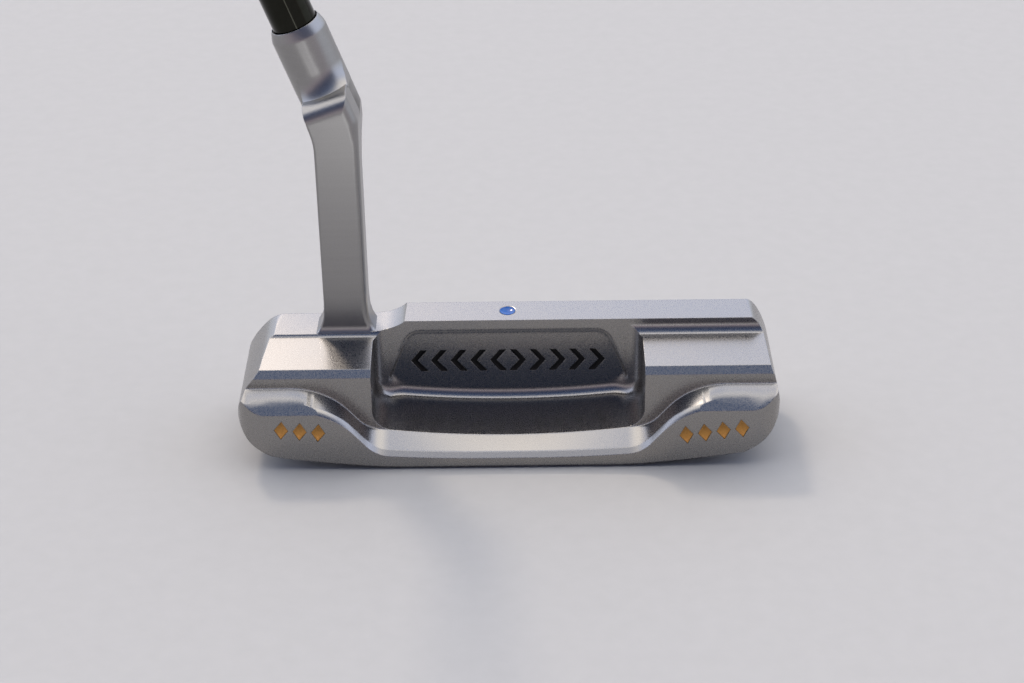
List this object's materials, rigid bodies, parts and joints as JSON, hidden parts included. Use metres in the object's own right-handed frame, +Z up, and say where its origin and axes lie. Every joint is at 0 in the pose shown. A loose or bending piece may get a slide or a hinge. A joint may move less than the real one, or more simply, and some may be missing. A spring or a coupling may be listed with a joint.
{
  "type": "blade putter",
  "caption": "Blade golf putter with heel and toe bumpers, a milled rear cavity, an offset plumber neck, a stepped steel shaft and a flat-sided rubber grip.",
  "frame": {"origin": "the point of the sole that touches the ground at address, middle of the head", "axes": "+X heel to toe, +Y the way the face looks (towards the hole), +Z up; the shaft leans towards -X at the lie angle"},
  "size_m": [0.3849, 0.0445, 0.8387],
  "materials": {
    "blasted_stainless": "bead-blasted stainless steel, satin",
    "milled_stainless": "milled stainless steel, satin",
    "black_chrome": "polished black chrome plating on steel tube",
    "epoxy": "cured epoxy",
    "tape": "paper-backed double-sided tape",
    "grip_rubber": "matt moulded rubber",
    "cap_rubber": "moulded rubber",
    "blue_enamel": "glossy blue paint fill",
    "black_enamel": "black paint fill",
    "gold_enamel": "gold paint fill"
  },
  "bodies": {
    "root": {"head_body": "blasted_stainless", "plumber_neck": "milled_stainless", "shaft": "black_chrome", "hosel_epoxy": "epoxy", "grip_tape": "tape", "grip": "grip_rubber", "grip_end_cap": "cap_rubber", "alignment_dot": "blue_enamel", "cavity_mark_01": "black_enamel", "cavity_mark_02": "black_enamel", "cavity_mark_03": "black_enamel", "cavity_mark_04": "black_enamel", "cavity_mark_05": "black_enamel", "cavity_mark_06": "black_enamel", "cavity_mark_07": "black_enamel", "cavity_mark_08": "black_enamel", "cavity_mark_09": "black_enamel", "cavity_mark_10": "black_enamel", "heel_mark_1": "gold_enamel", "heel_mark_2": "gold_enamel", "heel_mark_3": "gold_enamel", "toe_mark_1": "gold_enamel", "toe_mark_2": "gold_enamel", "toe_mark_3": "gold_enamel", "toe_mark_4": "gold_enamel"}
  },
  "joints": []
}
